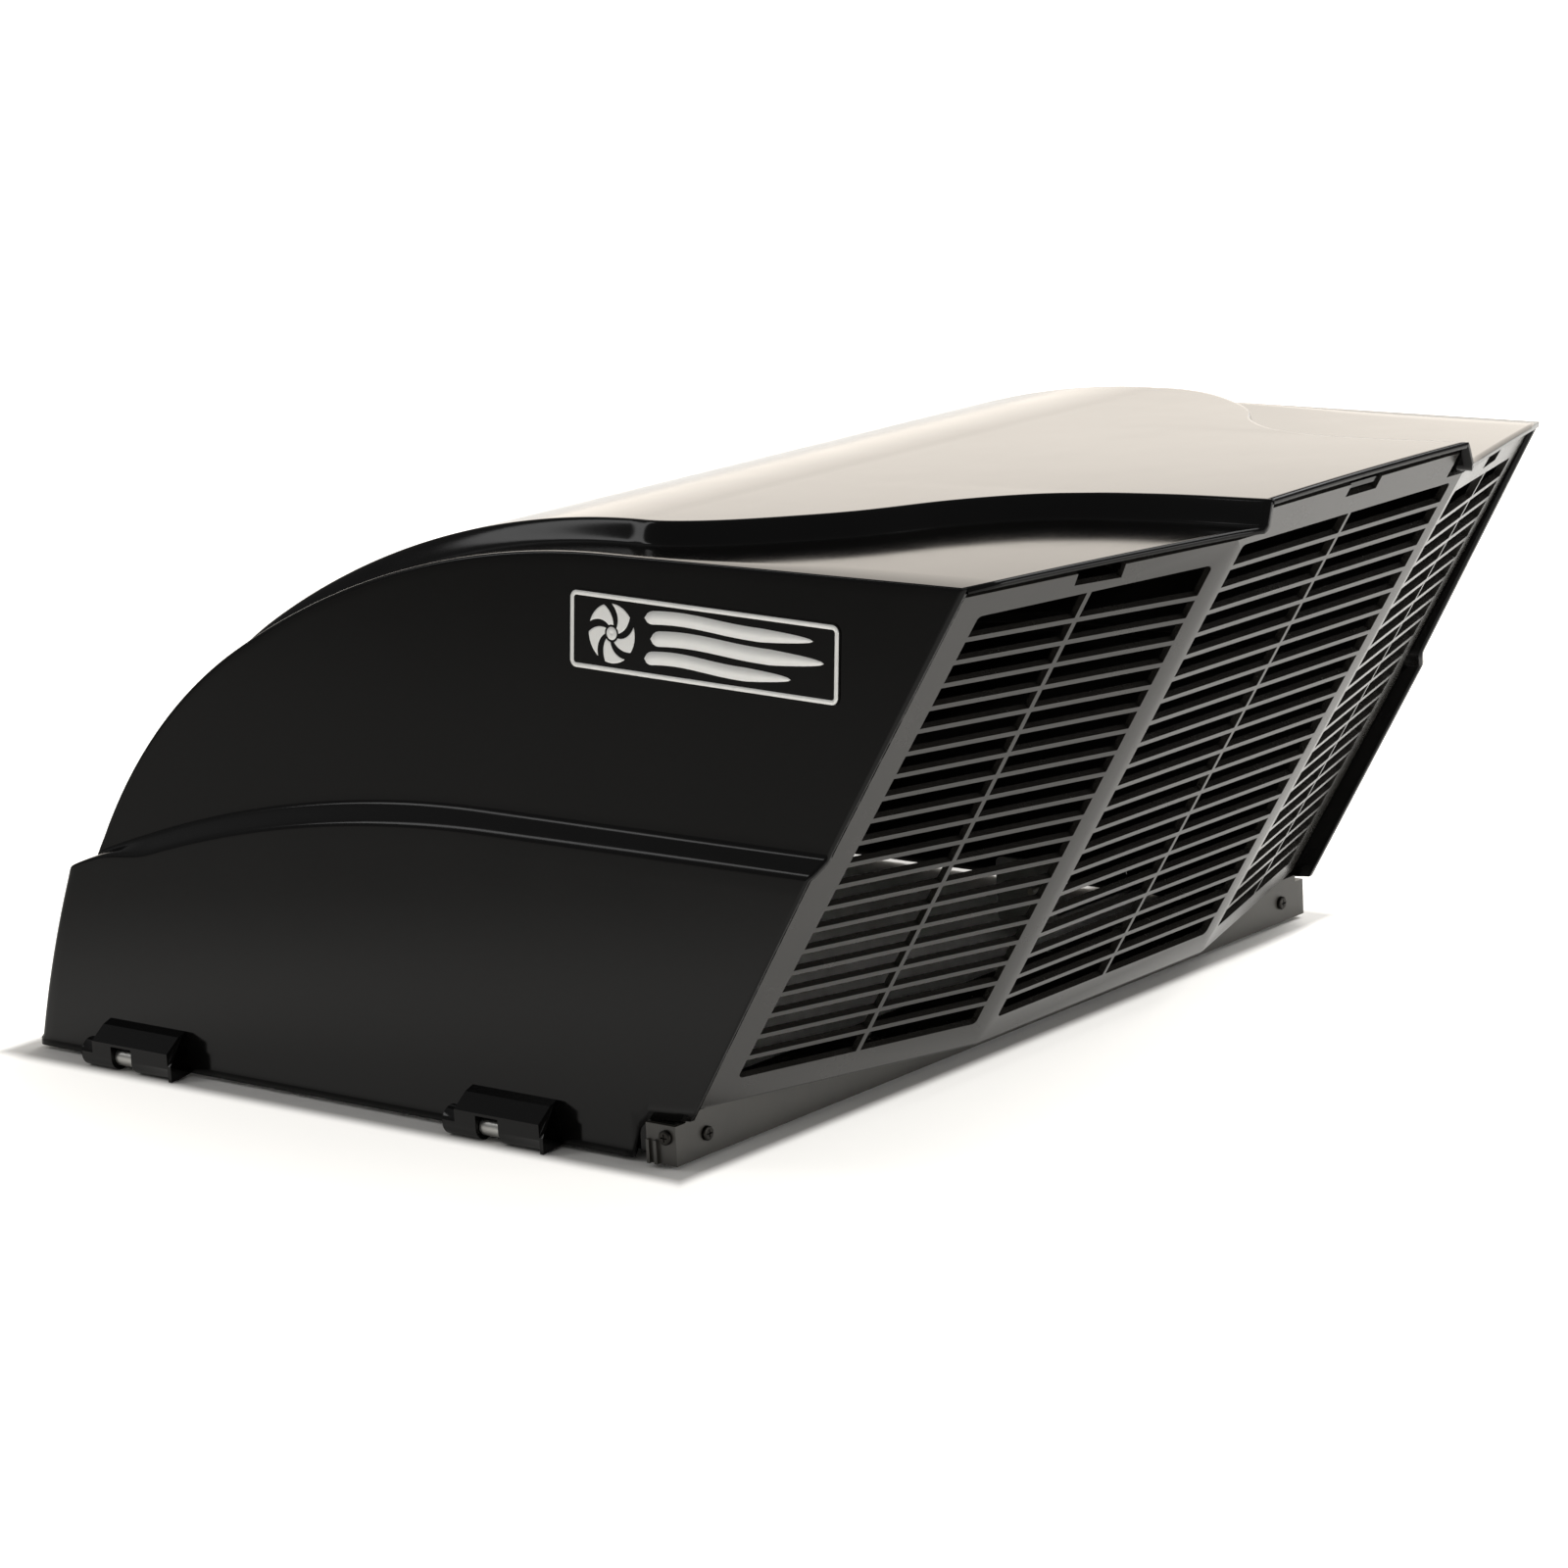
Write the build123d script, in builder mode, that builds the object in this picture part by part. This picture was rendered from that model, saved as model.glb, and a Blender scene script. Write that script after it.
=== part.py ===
from build123d import *
from math import asin, cos, degrees, radians, sin, sqrt
import os

# Rain cover for a caravan roof vent: a one-piece hood with a louvred rear grille, carried on
# four hinged brackets. +X points to the louvred end, +Z up. The origin is under the middle of
# the cover, level with the feet. Lengths are in millimetres.

# ---- hood, overall ----
base_length = 480.0  # front of the skirt to the rear face of the sill
rear_reach = 246.0  # how far the raised lip stands out behind the sill
roof_height = 314.0  # side edge of the roof above the rim
roof_half_width = 270.0
waist_half_width = 279.5  # upper wall where it meets the ledge
skirt_half_width = 292.5  # at the rim
skirt_draft = 4.0  # how far each skirt wall leans in up to the ledge
waist_height = 172.0  # ledge between the upper wall and the skirt
wall = 3.0
foot_drop = 2.5  # hinge barrels reach this far below the rim

# ---- hood, side profile ----
crown_front = 51.0  # where the flat roof starts to curve, ahead of the sill
crown_radius = 521.0
nose_radius = 282.0
shoulder_angle = 30.6  # turn of the roof curve before the nose curve takes over
nose_end_angle = 80.0
ledge_front = 130.0  # where the ledge starts to fall towards the nose
ledge_radius = 821.0
skirt_corner_back = 32.0  # the skirt's front leans back this much up to its corner
skirt_front_bulge = 2.5
rim_bead = 2.0
rim_bead_height = 6.0

# ---- hood, rear edge ----
wall_lean = 0.61  # rearward run of the wall's edge for each unit of height
wall_tip_x = 8.6
wall_tip_height = 25.0
lip_corner_x = 185.0
rim_notch_length = 27.0
rim_notch_height = 22.0
rim_notch_corner = 6.0

# ---- raised roof ----
roof_crown = 7.0  # rise of the roof's middle at the rear lip
hump_front_rise = 12.0
hump_rear_rise = 20.0
hump_half_front = 238.0
hump_half_middle = 178.0
hump_half_rear = 95.0
hump_turn_front = -50.0
hump_turn_middle = 52.0
hump_turn_rear = 165.0
lip_fold_half_width = 105.0
lip_fold_x = 240.0

# ---- grille ----
grille_lean = 0.625  # rearward run for each unit of height
grille_foot_x = 37.6  # the folds, carried down to rim height
fold_half_width = 107.0
facet_sweep = 0.32  # side facets run forward this much for each unit of width
grille_bottom = 27.0
bottom_rail = 13.5
side_top_rail = 12.0
frame_depth = 4.0
slat_depth = 4.0
slat_height = 2.6
side_slats = 20
centre_slats = 21
rib_width = 2.6
window_corner = 3.0
outer_stile = 16.0
fold_stile = 8.0
grille_gap = 1.0  # to the walls and roof

# ---- grille hooks and floor ----
hook_width = 26.0
hook_gap = 0.5
hook_sheet = 2.2
notch_length = 29.0
notch_depth = 8.0
floor_sheet = 2.5
floor_gap = 0.2
floor_screws_at = (120.0, 225.0)

# ---- sill ----
sill_height = 25.5
sill_top_half_width = 286.0
sill_half_width = 294.5
sill_end_height = 21.5
sill_depth = 24.0
sill_end_depth = 20.0
sill_rib = 2.0
sill_ribs_at = (12.0, 17.0)
sill_gap = 0.2
lug_inner = 262.0
lug_length = 45.0
lug_height = 18.0
screw_y = 270.0
screw_z = 12.0
end_screw_back = 6.5
end_screw_z = 15.0
screw_radius = 2.0
screw_head_radius = 4.0
screw_head_height = 2.2
screw_length = 14.0

# ---- hinge barrels, pins and brackets ----
pin_radius = 2.5
pin_gap = 0.08
barrel_radius = 8.0
barrel_height = 5.5  # pin axis above the rim
barrel_stand = 7.5  # pin axis outside the skirt's foot
rear_station = 120.0  # middle of the rear notch ahead of the sill
station_spacing = 277.0
arm_notch = 16.0
arm_gap = 0.5
barrel_front = 32.0  # barrel end ahead of the notch's middle
barrel_rear = 37.0
housing_front = 23.0
housing_height = 24.0
web_thickness = 2.5
pin_head_radius = 4.5
pin_head = 2.5
bracket_sheet = 2.5
eye_radius = 5.5
flange_half_width = 181.0  # brackets bolt to the sides of a 362 mm wide vent flange
tab_width = 42.0
tab_height = 40.0
tab_offset = 4.0  # one stamping serves both sides, its tab standing off the arm's middle
bolt_spacing = 24.0
bolt_height = 28.0
bolt_radius = 2.5
thread_radius = 2.25  # an M5 thread at its pitch diameter, below a plain shank
bolt_hole_radius = 2.75
bolt_length = 14.0
bolt_head_radius = 4.5
bolt_head = 3.0
washer_radius = 5.5
washer_sheet = 1.0

# ---- label ----
label_length = 178.0
label_height = 42.0
label_corner = 5.0
label_tilt = 1.6  # its rear end sits a little lower
label_middle_x = 18.0
label_middle_height = 272.0
label_thickness = 0.5

# ---- shared planes: x is measured back from the sill, height from the rim ----
sill_x = (base_length + rim_bead - rear_reach) / 2
far = 900.0
side_plane = Plane(origin=(sill_x, 0, foot_drop), x_dir=(1, 0, 0), z_dir=(0, -1, 0))
plan_plane = Plane(origin=(sill_x, 0, foot_drop))
pin_y = skirt_half_width + barrel_stand
stations = {"rear": -rear_station, "front": -rear_station - station_spacing}
sides = {"left": -1, "right": 1}
roof_under = roof_height - wall


def cross_plane(x):
    return Plane(origin=(sill_x + x, 0, foot_drop), x_dir=(0, 1, 0), z_dir=(1, 0, 0))


def arc_point(centre, radius, angle):
    """A point on a roof curve, its angle measured forward from the top."""
    return (centre[0] - radius * sin(radians(angle)), centre[1] + radius * cos(radians(angle)))


def upper_edge_x(height):
    """Rear edge of the upper side wall at a height above the rim."""
    return lip_corner_x - wall_lean * (roof_height - height)


def upper_half_at(height):
    """Half width over the upper walls at a height above the rim."""
    slope = (waist_half_width - roof_half_width) / (roof_height - waist_height)
    return roof_half_width + slope * (roof_height - height)


def skirt_half_at(height):
    return skirt_half_width - skirt_draft * height / waist_height


def roof_outline(offset, tail):
    """Side outline under the roof and nose curves moved by an offset, closed by the tail."""
    crown_centre = (-crown_front, roof_height - crown_radius)
    nose_centre = arc_point(crown_centre, crown_radius - nose_radius, shoulder_angle)
    nose_turn = nose_end_angle - shoulder_angle
    CenterArc(nose_centre, nose_radius + offset, 90 + shoulder_angle, nose_turn)
    CenterArc(crown_centre, crown_radius + offset, 90, shoulder_angle)
    toe = arc_point(nose_centre, nose_radius + offset, nose_end_angle)
    Polyline((-crown_front, roof_height + offset), *tail, toe)


def upper_body(inset, back, floor):
    """Tapered upper body; a hollowing copy is inset and runs out through back and floor."""
    top = roof_height - inset
    tail = [(back, top), (back, floor)]
    if inset == 0:
        tail += [(upper_edge_x(floor), floor), (upper_edge_x(60), 60)]
    else:
        tail += [(-crown_front, floor)]
    with BuildPart() as body:
        with BuildSketch(side_plane):
            with BuildLine():
                roof_outline(-inset, tail)
            make_face()
        extrude(amount=far, both=True)
        with BuildSketch(cross_plane(-far)):
            foot = upper_half_at(0) - inset
            head = upper_half_at(far) - inset
            Polygon((-foot, 0), (foot, 0), (head, far), (-head, far), align=None)
        extrude(amount=3 * far, mode=Mode.INTERSECT)
    return body.part


def crown_body(inset, back, floor):
    """Shallow crown over the flat of the roof, rising towards the rear lip."""
    rise = roof_crown * (back + crown_front) / (rear_reach + crown_front)
    half = roof_half_width - inset
    top = roof_height - inset
    with BuildPart() as body:
        with BuildSketch(side_plane):
            Polygon((-crown_front, floor), (back, floor), (back, top + rise), (-crown_front, top),
                    align=None)
        extrude(amount=far, both=True)
        with BuildSketch(cross_plane(-far)):
            with BuildLine():
                ThreePointArc((-half, top), (0, top + roof_crown), (half, top))
                Polyline((half, top), (half, 0), (-half, 0), (-half, top))
            make_face()
        extrude(amount=3 * far, mode=Mode.INTERSECT)
    return body.part


def hump_body(inset, back, floor):
    """Raised middle of the roof: wide over the nose, drawn in to the rear facet's width."""
    low = hump_front_rise - inset
    slope = (hump_rear_rise - hump_front_rise) / (rear_reach + crown_front)
    high = low + slope * (back + crown_front)
    turn_front = (hump_turn_front, hump_half_front - inset)
    turn_middle = (hump_turn_middle, hump_half_middle - inset)
    turn_rear = (hump_turn_rear, hump_half_rear - inset)
    with BuildPart() as body:
        with BuildSketch(side_plane):
            with BuildLine():
                tail = [(back, roof_height + high), (back, floor), (upper_edge_x(floor), floor)]
                roof_outline(low, tail)
            make_face()
        extrude(amount=far, both=True)
        with BuildSketch(plan_plane):
            with BuildLine():
                Spline(turn_front, turn_middle, turn_rear, tangents=[(1, 0), (1, 0)])
                Polyline(turn_rear, (far, turn_rear[1]), (far, 0), (-far, 0), (-far, turn_front[1]),
                         turn_front)
            make_face()
            mirror(about=Plane.XZ)
        extrude(amount=far, mode=Mode.INTERSECT)
    return body.part


def skirt_body(inset, back, floor):
    """The wider skirt below the ledge, with its sloping shoulder."""
    top = waist_height - inset
    radius = ledge_radius - inset
    centre = (-ledge_front, waist_height - ledge_radius)
    corner_x = -base_length + skirt_corner_back + inset
    corner = (corner_x, centre[1] + sqrt(radius**2 - (corner_x - centre[0]) ** 2))
    heel = (-base_length + inset, rim_bead_height if inset == 0 else floor)
    bulge = ((corner[0] + heel[0]) / 2 - skirt_front_bulge, (corner[1] + heel[1]) / 2)
    if inset == 0:
        toe = -base_length - rim_bead
        tail = [(toe, rim_bead_height - rim_bead), (toe, 0), (-rim_notch_length, 0)]
        tail += [(-rim_notch_length, rim_notch_height - rim_notch_corner)]
        tail += [(-rim_notch_length + rim_notch_corner, rim_notch_height)]
        tail += [(wall_tip_x, wall_tip_height)]
        tail += [(wall_tip_x + wall_lean * (top - wall_tip_height), top)]
    else:
        tail = [(back, floor), (back, top)]
    with BuildPart() as body:
        with BuildSketch(side_plane):
            with BuildLine():
                CenterArc(centre, radius, 90, degrees(asin((centre[0] - corner_x) / radius)))
                ThreePointArc(corner, bulge, heel)
                Polyline(heel, *tail, (centre[0], top))
            make_face()
        extrude(amount=far, both=True)
        with BuildSketch(cross_plane(-far)):
            foot = skirt_half_at(-far) - inset
            head = skirt_half_at(far) - inset
            Polygon((-foot, -far), (foot, -far), (head, far), (-head, far), align=None)
        extrude(amount=3 * far, mode=Mode.INTERSECT)
        shoulder = skirt_half_at(waist_height) - waist_half_width
        level = foot_drop + corner[1]
        rims = body.edges().filter_by(lambda e: abs((e @ 0.5).Y) > waist_half_width - inset)
        chamfer(rims.filter_by(lambda e: (e @ 0).Z > level - 1 and (e @ 1).Z > level - 1), length=shoulder)
    return body.part


def lip_outline():
    """Plan of the roof, cut off at the rear along three straight lips."""
    half = [(rear_reach, hump_half_rear + 2), (lip_fold_x, lip_fold_half_width),
            (lip_corner_x, roof_half_width), (lip_corner_x, far), (-far, far)]
    Polygon(*half, *[(x, -y) for x, y in reversed(half)], align=None)


# ---- facet planes of the grille: local y climbs the slope, local z points out ----
slope_direction = Vector(grille_lean, 0, 1)
fold_foot = Vector(sill_x + grille_foot_x, fold_half_width, foot_drop)
across = Vector(-facet_sweep, 1, 0)
side_facet = Plane(origin=fold_foot, x_dir=across, z_dir=across.cross(slope_direction))
centre_foot = Vector(sill_x + grille_foot_x, 0, foot_drop)
centre_facet = Plane(origin=centre_foot, x_dir=(0, 1, 0), z_dir=Vector(0, 1, 0).cross(slope_direction))


def facet_x(half, height):
    """Outer face of the grille, behind the sill."""
    return grille_foot_x + grille_lean * height - facet_sweep * max(0, half - fold_half_width)


def on_facet(plane, y, height):
    """Plane coordinates of the facet point at a distance from the centre line and a height."""
    local = plane.to_local_coords(Vector(sill_x + facet_x(abs(y), height), y, foot_drop + height))
    return (local.X, local.Y)


def lip_under(half):
    """Underside of the roof over the grille at a distance from the centre line."""
    rise = roof_crown * (facet_x(half, roof_height) + crown_front) / (rear_reach + crown_front)
    return roof_under + rise * (1 - (half / roof_half_width) ** 2)


def facet_bar(plane, y_from, y_to, low, high):
    """One straight bar of the grille between two distances from the centre line."""
    Polygon(on_facet(plane, y_from, low), on_facet(plane, y_to, low), on_facet(plane, y_to, high),
            on_facet(plane, y_from, high), align=None)


outer_top = upper_half_at(lip_under(roof_half_width)) - wall - grille_gap
outer_waist = upper_half_at(waist_height) - wall - grille_gap
outer_skirt = skirt_half_at(waist_height - wall) - wall - grille_gap
outer_foot = skirt_half_at(grille_bottom) - wall - grille_gap
top_gap = grille_gap + frame_depth * -side_facet.z_dir.Z
ledge_high = waist_height - wall - top_gap
ledge_low = ledge_high - (outer_skirt - outer_waist)
side_top = lip_under(roof_half_width) - top_gap
fold_top = lip_under(fold_half_width) - top_gap
hump_inside = hump_half_rear - wall - grille_gap
centre_top = roof_height + hump_rear_rise - wall - top_gap - 0.5
window_low = grille_bottom + bottom_rail
side_window = (fold_half_width + fold_stile, outer_top - outer_stile)
side_window_foot = outer_waist - outer_stile
side_window_top = side_top - side_top_rail
centre_window = fold_half_width - fold_stile
centre_window_top = fold_top - fold_stile / 2


def side_window_outer(height):
    share = (height - window_low) / (side_window_top - window_low)
    return side_window_foot + (side_window[1] - side_window_foot) * share


def slat_heights(count, top):
    pitch = (top - window_low) / (count + 1)
    return [window_low + pitch * (i + 1) - slat_height / 2 for i in range(count)]


def flipped(part):
    return mirror(part, about=Plane.XZ)


side_notch_y = (fold_half_width + outer_top) / 2
side_notch_top = (fold_top + side_top) / 2


# ---- hood ----
def hinge_housing(middle, side):
    """Closed housing over a hinge barrel, with its end web, slotted for an arm and bored."""
    root = skirt_half_width - wall / 2
    outside = pin_y + barrel_radius
    slant = barrel_radius * sqrt(0.5)
    with BuildPart() as housing:
        with BuildSketch(cross_plane(middle - housing_front)):
            with BuildLine():
                Polyline((side * root, 0), (side * root, housing_height),
                         (side * (root + 7), housing_height - 2.5), (side * outside, housing_height - 10),
                         (side * outside, barrel_height))
                ThreePointArc((side * outside, barrel_height),
                              (side * (pin_y + slant), barrel_height - slant),
                              (side * pin_y, barrel_height - barrel_radius))
                Polyline((side * pin_y, barrel_height - barrel_radius), (side * (root + wall), 0),
                         (side * root, 0))
            make_face()
        extrude(amount=housing_front + barrel_rear)
        with BuildSketch(cross_plane(middle - barrel_front)):
            with Locations((side * pin_y, barrel_height)):
                Circle(barrel_radius)
            with Locations((side * (root + pin_y) / 2, barrel_height)):
                Rectangle(pin_y - root, 2 * (barrel_height - 0.5))
        extrude(amount=barrel_front - housing_front)
        with BuildSketch(cross_plane(middle + barrel_rear)):
            Polygon((side * root, 0), (side * root, housing_height + 3),
                    (side * outside, 7), (side * outside, -2),
                    align=None)
        extrude(amount=web_thickness)
        with BuildSketch(cross_plane(middle - arm_notch / 2)):
            with Locations((side * (root + far / 2 - 5), 0)):
                Rectangle(far, 2 * (barrel_height + eye_radius + 1.5))
        extrude(amount=arm_notch, mode=Mode.SUBTRACT)
        with BuildSketch(cross_plane(middle - barrel_front - 1)):
            with Locations((side * pin_y, barrel_height)):
                Circle(pin_radius + pin_gap)
        extrude(amount=1 + barrel_front + barrel_rear, mode=Mode.SUBTRACT)
    return housing.part


left_facet = Plane(origin=(fold_foot.X, -fold_foot.Y, fold_foot.Z), x_dir=(facet_sweep, 1, 0),
                   z_dir=Vector(facet_sweep, 1, 0).cross(slope_direction))
hook_places = ((side_facet, side_notch_y, side_notch_top), (left_facet, -side_notch_y, side_notch_top),
               (centre_facet, 0, centre_top))
makers = (upper_body, crown_body, hump_body, skirt_body)
outers = [make(0, rear_reach + wall, roof_under) for make in makers]
floors = (-far, waist_height, waist_height, -far)
hollows = [make(wall, far, floor) for make, floor in zip(makers, floors)]

with BuildPart() as hood_shell:
    add(outers)
    with BuildSketch(plan_plane.offset(-far)):
        lip_outline()
    extrude(amount=3 * far, mode=Mode.INTERSECT)
    add(hollows, mode=Mode.SUBTRACT)
    for middle in stations.values():
        for side in sides.values():
            add(hinge_housing(middle, side))
            with BuildSketch(cross_plane(middle - arm_notch / 2)):
                with Locations((side * skirt_half_width, 0)):
                    Rectangle(6 * wall, 2 * (barrel_height + eye_radius + 1.5))
            extrude(amount=arm_notch, mode=Mode.SUBTRACT)
    for side in sides.values():
        # lug inside each rear corner that the sill is screwed to
        with BuildSketch(plan_plane.offset(sill_height - wall - sill_gap)):
            with Locations((-lug_length, side * (lug_inner + skirt_half_width - wall / 2) / 2)):
                Rectangle(lug_length - wall - sill_gap, skirt_half_width - wall / 2 - lug_inner,
                          align=(Align.MIN, Align.CENTER))
        extrude(amount=-lug_height)
        with Locations(Plane(origin=(sill_x - wall, side * screw_y, foot_drop + screw_z), z_dir=(1, 0, 0)),
                       Plane(origin=(sill_x - end_screw_back, side * (skirt_half_width - wall / 2),
                                     foot_drop + end_screw_z), z_dir=(0, side, 0))):
            Hole(screw_radius, depth=screw_length)
    # hooks under the lip that stand in the notches of the grille's top rail
    for plane, y, top in hook_places:
        u, v = on_facet(plane, y, top)
        with BuildSketch(plane.offset(-frame_depth - hook_gap)):
            with Locations((u, v + 2 * grille_gap)):
                Rectangle(hook_width, notch_depth + 2 * grille_gap - hook_gap,
                          align=(Align.CENTER, Align.MAX))
        extrude(amount=-hook_sheet)
        with BuildSketch(plane.offset(-1.5)):
            with Locations((u, v - notch_depth / 2)):
                Rectangle(hook_width, notch_depth / 2 - hook_gap, align=(Align.CENTER, Align.MIN))
        extrude(amount=-frame_depth)

# ---- rear sill ----
screw_seats = [Plane(origin=(sill_x, side * screw_y, foot_drop + screw_z), z_dir=(1, 0, 0))
               for side in sides.values()]
screw_seats += [Plane(origin=(sill_x - end_screw_back, side * sill_half_width, foot_drop + end_screw_z),
                      z_dir=(0, side, 0)) for side in sides.values()]

floor_top = foot_drop + sill_height + floor_gap + floor_sheet
floor_seats = [Plane(origin=(sill_x - sill_depth / 2, side * y, floor_top))
               for y in floor_screws_at for side in sides.values()]

with BuildPart() as rear_sill:
    with BuildSketch(side_plane):
        with BuildLine():
            Polyline((0, 0), (0, sill_height), (-sill_depth, sill_height),
                     (-sill_depth, sill_height - wall), (-wall, sill_height - wall), (-wall, 0), (0, 0))
        make_face()
    extrude(amount=sill_top_half_width, both=True)
    with BuildSketch(cross_plane(0)):
        Rectangle(2 * sill_half_width, sill_end_height, align=(Align.CENTER, Align.MIN))
    extrude(amount=-wall)
    with BuildSketch(cross_plane(0)):
        for side in sides.values():
            with Locations((side * (sill_half_width - wall / 2), 0)):
                Rectangle(wall, sill_end_height, align=(Align.CENTER, Align.MIN))
    extrude(amount=-sill_end_depth)
    for rib_x in sill_ribs_at:
        with BuildSketch(cross_plane(-rib_x)):
            for side in sides.values():
                with Locations((side * (sill_half_width + sill_rib / 2), 0)):
                    Rectangle(sill_rib, sill_end_height * 0.6, align=(Align.CENTER, Align.MIN))
        extrude(amount=-sill_rib)
    with Locations(*screw_seats):
        Hole(screw_radius + 0.2, depth=wall)
    with Locations(*[seat.offset(-floor_sheet - floor_gap) for seat in floor_seats]):
        Hole(screw_radius, depth=wall)

# ---- louvred grille ----
with BuildPart() as side_grille:
    with BuildSketch(side_facet):
        Polygon(on_facet(side_facet, fold_half_width, grille_bottom),
                on_facet(side_facet, outer_foot, grille_bottom),
                on_facet(side_facet, outer_skirt, ledge_low), on_facet(side_facet, outer_waist, ledge_high),
                on_facet(side_facet, outer_top, side_top), on_facet(side_facet, fold_half_width, fold_top),
                align=None)
        with Locations(on_facet(side_facet, side_notch_y, side_notch_top)):
            Rectangle(notch_length, 2 * notch_depth, mode=Mode.SUBTRACT)
    extrude(amount=-frame_depth)
    with BuildSketch(side_facet) as side_opening:
        Polygon(on_facet(side_facet, side_window[0], window_low),
                on_facet(side_facet, side_window_foot, window_low),
                on_facet(side_facet, side_window[1], side_window_top),
                on_facet(side_facet, side_window[0], side_window_top + fold_top - side_top), align=None)
        fillet(side_opening.vertices(), radius=window_corner)
    extrude(amount=-frame_depth, mode=Mode.SUBTRACT)
    with BuildSketch(side_facet):
        middle = (side_window[0] + side_window_foot) / 2
        facet_bar(side_facet, middle - rib_width / 2, middle + rib_width / 2,
                  window_low - 1, side_window_top + 4)
        for height in slat_heights(side_slats, side_window_top):
            facet_bar(side_facet, side_window[0] - 1, side_window_outer(height) + 1,
                      height, height + slat_height)
    extrude(amount=-slat_depth)

with BuildPart() as rear_grille:
    with BuildSketch(centre_facet):
        facet_bar(centre_facet, -fold_half_width, fold_half_width, grille_bottom, fold_top)
        facet_bar(centre_facet, -hump_inside, hump_inside, grille_bottom, centre_top)
        with Locations(on_facet(centre_facet, 0, centre_top)):
            Rectangle(notch_length, 2 * notch_depth, mode=Mode.SUBTRACT)
    extrude(amount=-frame_depth)
    with BuildSketch(centre_facet) as centre_opening:
        facet_bar(centre_facet, -centre_window, centre_window, window_low, centre_window_top)
        fillet(centre_opening.vertices(), radius=window_corner)
    extrude(amount=-frame_depth, mode=Mode.SUBTRACT)
    with BuildSketch(centre_facet):
        facet_bar(centre_facet, -rib_width / 2, rib_width / 2, window_low - 1, centre_window_top + 1)
        for height in slat_heights(centre_slats, centre_window_top):
            facet_bar(centre_facet, -centre_window - 1, centre_window + 1, height, height + slat_height)
    extrude(amount=-slat_depth)
    add(side_grille.part)
    add(flipped(side_grille.part))
    # floor between the facets' feet and the sill
    with BuildSketch(plan_plane.offset(sill_height + floor_gap + floor_sheet)):
        outer_floor = outer_foot - frame_depth
        edge = [(facet_x(fold_half_width, grille_bottom) - frame_depth / 2, fold_half_width),
                (facet_x(outer_floor, grille_bottom) - frame_depth / 2, outer_floor)]
        back = [(-sill_depth + grille_gap, outer_floor)]
        points = edge + back
        Polygon(*points, *[(x, -y) for x, y in reversed(points)], align=None)
    extrude(amount=-floor_sheet)
    with Locations(*floor_seats):
        Hole(screw_radius + 0.2, depth=floor_sheet)


# ---- screws of the sill and floor ----
def pan_screw(plane, length):
    """Pan head screw; the plane lies under the head, with its z axis out of the head."""
    with BuildPart() as screw:
        with BuildSketch(plane):
            Circle(screw_head_radius)
        extrude(amount=screw_head_height)
        fillet(screw.edges().filter_by(GeomType.CIRCLE).group_by(lambda e: plane.to_local_coords(e @ 0).Z)[-1],
               radius=screw_head_height / 2)
        with BuildSketch(plane):
            Circle(screw_radius)
        extrude(amount=-length)
        with BuildSketch(plane.offset(screw_head_height)):
            Rectangle(screw_head_radius * 1.1, 0.8)
            Rectangle(0.8, screw_head_radius * 1.1)
        extrude(amount=-1, mode=Mode.SUBTRACT)
    return screw.part


with BuildPart() as sill_screws:
    add([pan_screw(seat, wall + screw_length - 2) for seat in screw_seats])

with BuildPart() as floor_screws:
    add([pan_screw(seat, floor_sheet + floor_gap + wall + 2) for seat in floor_seats])

# ---- labels ----
labels = {}
for side_name, side in sides.items():
    slope = (waist_half_width - roof_half_width) / (roof_height - waist_height)
    seat = Plane(origin=(sill_x + label_middle_x, side * upper_half_at(label_middle_height),
                         foot_drop + label_middle_height), x_dir=(-side, 0, 0), z_dir=(0, side, slope))
    with BuildPart() as label:
        with BuildSketch(seat):
            RectangleRounded(label_length, label_height, label_corner, rotation=side * label_tilt)
        extrude(amount=label_thickness)
    labels[side_name] = label.part

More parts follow.
